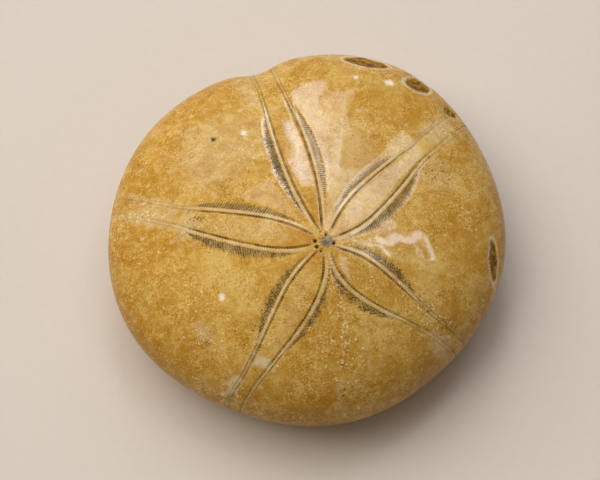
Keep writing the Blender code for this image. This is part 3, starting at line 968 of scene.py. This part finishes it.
# %% Floor
FLOOR_HALF = 3.0
floor_material = bpy.data.materials.new("pale_sheet")
floor_material.use_nodes = True
floor_tree = floor_material.node_tree
floor_shader = floor_tree.nodes["Principled BSDF"]
floor_spot = add(floor_tree, "TexCoord", out="Object")
floor_noise = add(floor_tree, "TexNoise", {"Vector": floor_spot, "Scale": 900.0, "Detail": 3.0})
floor_colour = add(floor_tree, "Mix", {0: floor_noise, 6: from_hex("D6CCC2"), 7: from_hex("DAD0C6")}, out=2,
                   data_type="RGBA")
floor_tree.links.new(floor_colour, floor_shader.inputs["Base Color"])
floor_shader.inputs["Roughness"].default_value = 0.8
floor_mesh = bpy.data.meshes.new("pale_sheet")
corner = (-FLOOR_HALF, FLOOR_HALF)
floor_mesh.from_pydata([(a, b, 0) for b in corner for a in corner], [], [(0, 1, 3, 2)])
floor_mesh.materials.append(floor_material)
floor = bpy.data.objects.new("pale_sheet", floor_mesh)
bpy.context.scene.collection.objects.link(floor)
print("sheet is", 2 * FLOOR_HALF, "m across")

# %% [markdown]
# Each lamp stands where a mirror on the stone would point to it, and its width and height are angles
# seen from the stone, so each one shows in the polish as a bright pane of that shape. Tall windows
# behind and to the right give the wide cream sheens. The glints are panes that show in the polish but
# light nothing. The skies do the opposite: they light the stone, and the polish doesn't show them.

# %% Lights
VIEW_TURN = -16.0
WINDOW_LIGHT = "EEF4FF"
SKY_LIGHT = "FFFAF2"
LAMP_DISTANCE = 0.7
LAMP_CENTRE = np.array((0.0, 0.0, 0.010))


def softbox(name, azimuth, elevation, wide, tall, radiance, lean, code):
    """An area light seen from the object at that azimuth, clockwise from straight behind it, and
    elevation, as wide and tall in degrees, leaning clockwise. Its power is pi x area x radiance."""
    turn = np.radians(VIEW_TURN - azimuth)
    rise = np.radians(elevation)
    towards = np.array((-np.sin(turn) * np.cos(rise), np.cos(turn) * np.cos(rise), np.sin(rise)))
    data = bpy.data.lights.new(name, "AREA")
    data.shape = "RECTANGLE"
    data.size = 2 * LAMP_DISTANCE * np.tan(np.radians(wide / 2))
    data.size_y = 2 * LAMP_DISTANCE * np.tan(np.radians(tall / 2))
    data.energy = np.pi * data.size * data.size_y * radiance
    data.color = from_hex(code)[:3]
    lamp = bpy.data.objects.new(name, data)
    bpy.context.scene.collection.objects.link(lamp)
    lamp.location = LAMP_CENTRE + LAMP_DISTANCE * towards
    lamp.rotation_mode = "QUATERNION"
    faced = Vector(towards).to_track_quat("Z", "Y")
    lamp.rotation_quaternion = faced @ Quaternion((0, 0, 1), np.radians(lean))
    lamp.visible_camera = False
    return lamp


# name, azimuth, elevation, width and height in degrees, radiance, lean
WINDOWS = (
    ("back_window", -4, 36, 6.0, 31, 6.0, 0),
    ("back_window_side", 3.5, 39, 6.0, 24, 3.0, 0),
    ("back_window_left", -8.0, 42, 2.4, 14, 4.5, 0),
    ("right_window", 31, 46, 9.5, 26, 3.4, -12),
    ("over_window", 40, 65, 34, 8, 2.4, 0),
    ("over_window_low", 14, 56, 18, 13, 1.9, 0),
    ("left_window", -24, 55, 12, 9, 2.0, 0),
)
GLINTS = (
    ("over_right", 44, 55.5, 9, 4.5, 4.0, 0),
    ("over_crown", 86, 74.5, 11, 5.0, 3.5, 0),
    ("pane_top", 60.5, 54.5, 14.5, 3.8, 8.5, 59),
    ("pane_left", 70, 62, 9, 4.2, 6.5, 0),
    ("pane_right", 74, 47.5, 10, 2.4, 8.0, 0),
)
SKIES = (
    ("left_sky", -56, 50, 58, 56, 2.65, 0),
    ("over_sky", -80, 68, 60, 60, 0.42, 0),
    ("right_sky", 140, 48, 56, 46, 0.28, 0),
)
for lamp_values in WINDOWS:
    softbox(*lamp_values, WINDOW_LIGHT)
for lamp_values in GLINTS:
    softbox(*lamp_values, WINDOW_LIGHT).visible_diffuse = False
for lamp_values in SKIES:
    softbox(*lamp_values, SKY_LIGHT).visible_glossy = False
print("windows", len(WINDOWS), "glints", len(GLINTS), "skies", len(SKIES))

# %% Warm light from all round
world = bpy.data.worlds.new("even_sky")
world.use_nodes = True
background = world.node_tree.nodes["Background"]
background.inputs["Color"].default_value = from_hex("FFDDAA")
background.inputs["Strength"].default_value = 0.075
bpy.context.scene.world = world
print("strength of the light from all round", round(background.inputs["Strength"].default_value, 3))

# %% [markdown]
# A long lens from a quarter of a metre away looks down on the dome, as somebody does who holds a small
# thing up to study it.

# %% Camera
VIEW_RISE = 69.0
CAMERA_AT = (-0.02353, -0.07907, 0.22136)
turn, rise = np.radians(VIEW_TURN), np.radians(VIEW_RISE)
back = Vector((np.sin(turn) * np.cos(rise), -np.cos(turn) * np.cos(rise), np.sin(rise)))
camera_data = bpy.data.cameras.new("camera")
camera_data.lens = 110.0
camera_data.sensor_width = 36.0
camera_data.clip_start = 0.01
camera_data.clip_end = 20.0
camera = bpy.data.objects.new("camera", camera_data)
camera.rotation_mode = "QUATERNION"
camera.rotation_quaternion = (-back).to_track_quat("-Z", "Y")
camera.location = CAMERA_AT
bpy.context.scene.collection.objects.link(camera)
bpy.context.scene.camera = camera
bpy.context.scene.view_settings.view_transform = "Standard"
from_crown = Vector(CAMERA_AT) - Vector((*CROWN, HEIGHT)) * MM
print("camera's distance from the crown in mm", round(from_crown.length / MM))
